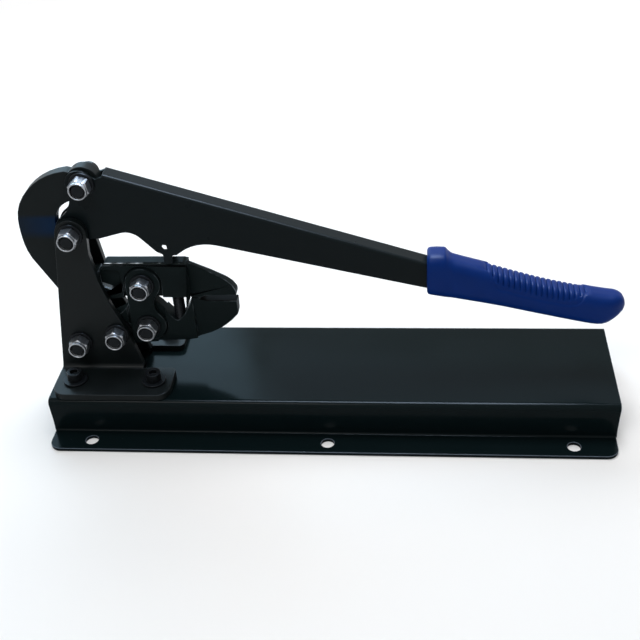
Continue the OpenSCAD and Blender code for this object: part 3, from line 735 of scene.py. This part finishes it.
grip_blue, tree, place = start_material("moulded soft plastic, blue")
leather = add(tree, "ShaderNodeTexVoronoi", {"Vector": place, "Scale": 1 / (0.7 * MM)})
cloud = add(tree, "ShaderNodeTexNoise", {"Vector": place, "Scale": 1 / (14 * MM), "Detail": 4.0})
tint = add(tree, "ShaderNodeMix", {"Factor": cloud.outputs["Fac"], "A": colour("#002363"),
                                   "B": colour("#01286c")}, data_type="RGBA")
rough = add(tree, "ShaderNodeMapRange", {"Value": cloud.outputs["Fac"], "From Min": 0.3,
                                         "From Max": 0.7, "To Min": 0.36, "To Max": 0.46})
bump = add(tree, "ShaderNodeBump", {"Height": leather.outputs["Distance"], "Strength": 0.12,
                                    "Distance": 0.06 * MM})
end_material(tree, add(tree, "ShaderNodeBsdfPrincipled", {
    "Base Color": tint.outputs["Result"], "Roughness": rough.outputs[0],
    "Normal": bump.outputs[0], "IOR": 1.5, "Specular IOR Level": 0.08}))
fit(placed("grip_sleeve", grip_mesh()), "handle", grip_blue, "grip")

# Studio: a plain pale floor and soft lamps, large and overhead or behind the tool. Each lamp
# serves the reflections, the matt light or both.

NEAR_FLOOR = 0.3
FAR_FLOOR = 1.0
SKY_LIGHT = 0.28

# Matt paper: an even pale grey that keeps the tool's shadow. What the camera or a gloss sees of
# it turns white with distance, so that no edge shows against the white world.


def seen_directly(tree):
    """1 for what the camera, a reflection or a clear material sees, and 0 for matt light."""
    path = add(tree, "ShaderNodeLightPath")
    direct = add(tree, "ShaderNodeMath", {0: path.outputs["Is Camera Ray"],
                                          1: path.outputs["Is Glossy Ray"]}, operation="MAXIMUM")
    return add(tree, "ShaderNodeMath", {0: direct.outputs[0],
                                        1: path.outputs["Is Transmission Ray"]},
               operation="MAXIMUM").outputs[0]


floor_paper, tree, place = start_material("pale paper floor")
plain = add(tree, "ShaderNodeBsdfDiffuse", {"Color": colour("#e2e2e2")})
glow = add(tree, "ShaderNodeEmission", {"Color": colour("#ffffff"), "Strength": 1.0})
far = add(tree, "ShaderNodeVectorMath", {0: place}, operation="LENGTH")
paler = add(tree, "ShaderNodeMapRange", {"Value": far.outputs["Value"], "From Min": NEAR_FLOOR,
                                         "From Max": FAR_FLOOR, "To Min": 0.2, "To Max": 1.0})
share = add(tree, "ShaderNodeMath", {0: seen_directly(tree), 1: paler.outputs[0]},
            operation="MULTIPLY")
end_material(tree, add(tree, "ShaderNodeMixShader", {0: share.outputs[0], 1: plain.outputs[0],
                                                     2: glow.outputs[0]}))
floor_mesh = bpy.data.meshes.new("floor")
reach = 4.0
corners = [(-reach, -reach, 0), (reach, -reach, 0), (reach, reach, 0), (-reach, reach, 0)]
floor_mesh.from_pydata(corners, [], [(0, 1, 2, 3)])
floor_mesh.materials.append(floor_paper)
placed("floor", floor_mesh)

world = bpy.data.worlds.new("studio")
bpy.context.scene.world = world
world.use_nodes = True
sky = world.node_tree
sky.nodes.clear()
level = add(sky, "ShaderNodeMapRange", {"Value": seen_directly(sky), "To Min": SKY_LIGHT,
                                        "To Max": 1.0})
air = add(sky, "ShaderNodeBackground", {"Color": colour("#ffffff"),
                                        "Strength": level.outputs[0]})
add(sky, "ShaderNodeOutputWorld", {"Surface": air.outputs[0]})


def lamp(name, place, aim, width, height, watts, tint="#ffffff", glossy=True, diffuse=True):
    """A soft rectangular lamp at a place in metres, turned towards another."""
    data = bpy.data.lights.new(name, "AREA")
    data.shape = "RECTANGLE"
    data.size = width
    data.size_y = height
    data.energy = watts
    data.color = colour(tint)[:3]
    made = placed(name, data)
    made.location = place
    made.rotation_euler = (Vector(aim) - Vector(place)).to_track_quat("-Z", "Y").to_euler()
    made.visible_camera = False
    made.visible_glossy = glossy
    made.visible_diffuse = diffuse


lamp("overhead", (0.05, 0.3, 1.3), (0, 0, 0.05), 0.5, 0.5, 11, glossy=False)
lamp("overhead sheen", (0, 0.2, 1.15), (-0.05, 0.05, 0.1), 0.55, 0.6, 44, "#d2e6ff",
     diffuse=False)
lamp("front fill", (-0.35, -0.8, 1.2), (0, 0, 0.08), 0.6, 0.3, 5)
lamp("rear window", (-0.62, 0.85, 0.65), (-0.1, 0, 0.1), 0.75, 0.6, 6.5, "#b5e3ff")
lamp("rear strip", (0.1, 0.42, 0.44), (0, 0, 0.12), 0.5, 0.15, 0.2, "#c0daff")
lamp("rear key", (-0.15, 1.3, 0.95), (0, 0, 0), 1.4, 1.0, 16, glossy=False)

# Camera: at the photograph's viewing angle, worked out from the base's straight edges. Its place
# is in mm, and its focal length in pixels of a frame 640 wide.

FOCAL_PX = 1065.65
FRAME_PX = 640
EYE = (64.205, -576.456, 461.949)
DOWN = math.radians(34.517)
YAW = math.radians(-6.975)
ROLL = math.radians(-3.801)
ahead = Vector((math.sin(YAW) * math.cos(DOWN), math.cos(YAW) * math.cos(DOWN), -math.sin(DOWN)))
level_right = ahead.cross(Vector((0, 0, 1))).normalized()
level_up = level_right.cross(ahead)
right = level_right * math.cos(ROLL) + level_up * math.sin(ROLL)
up = level_up * math.cos(ROLL) - level_right * math.sin(ROLL)
lens = bpy.data.cameras.new("camera")
lens.sensor_width = 36
lens.sensor_fit = "HORIZONTAL"
lens.lens = lens.sensor_width * FOCAL_PX / FRAME_PX
lens.clip_start = 0.01
camera = placed("camera", lens)
turn = Matrix((right, up, -ahead)).transposed().to_4x4()
camera.matrix_world = Matrix.Translation(Vector(EYE) * MM) @ turn
bpy.context.scene.camera = camera
bpy.context.scene.view_settings.view_transform = "Standard"
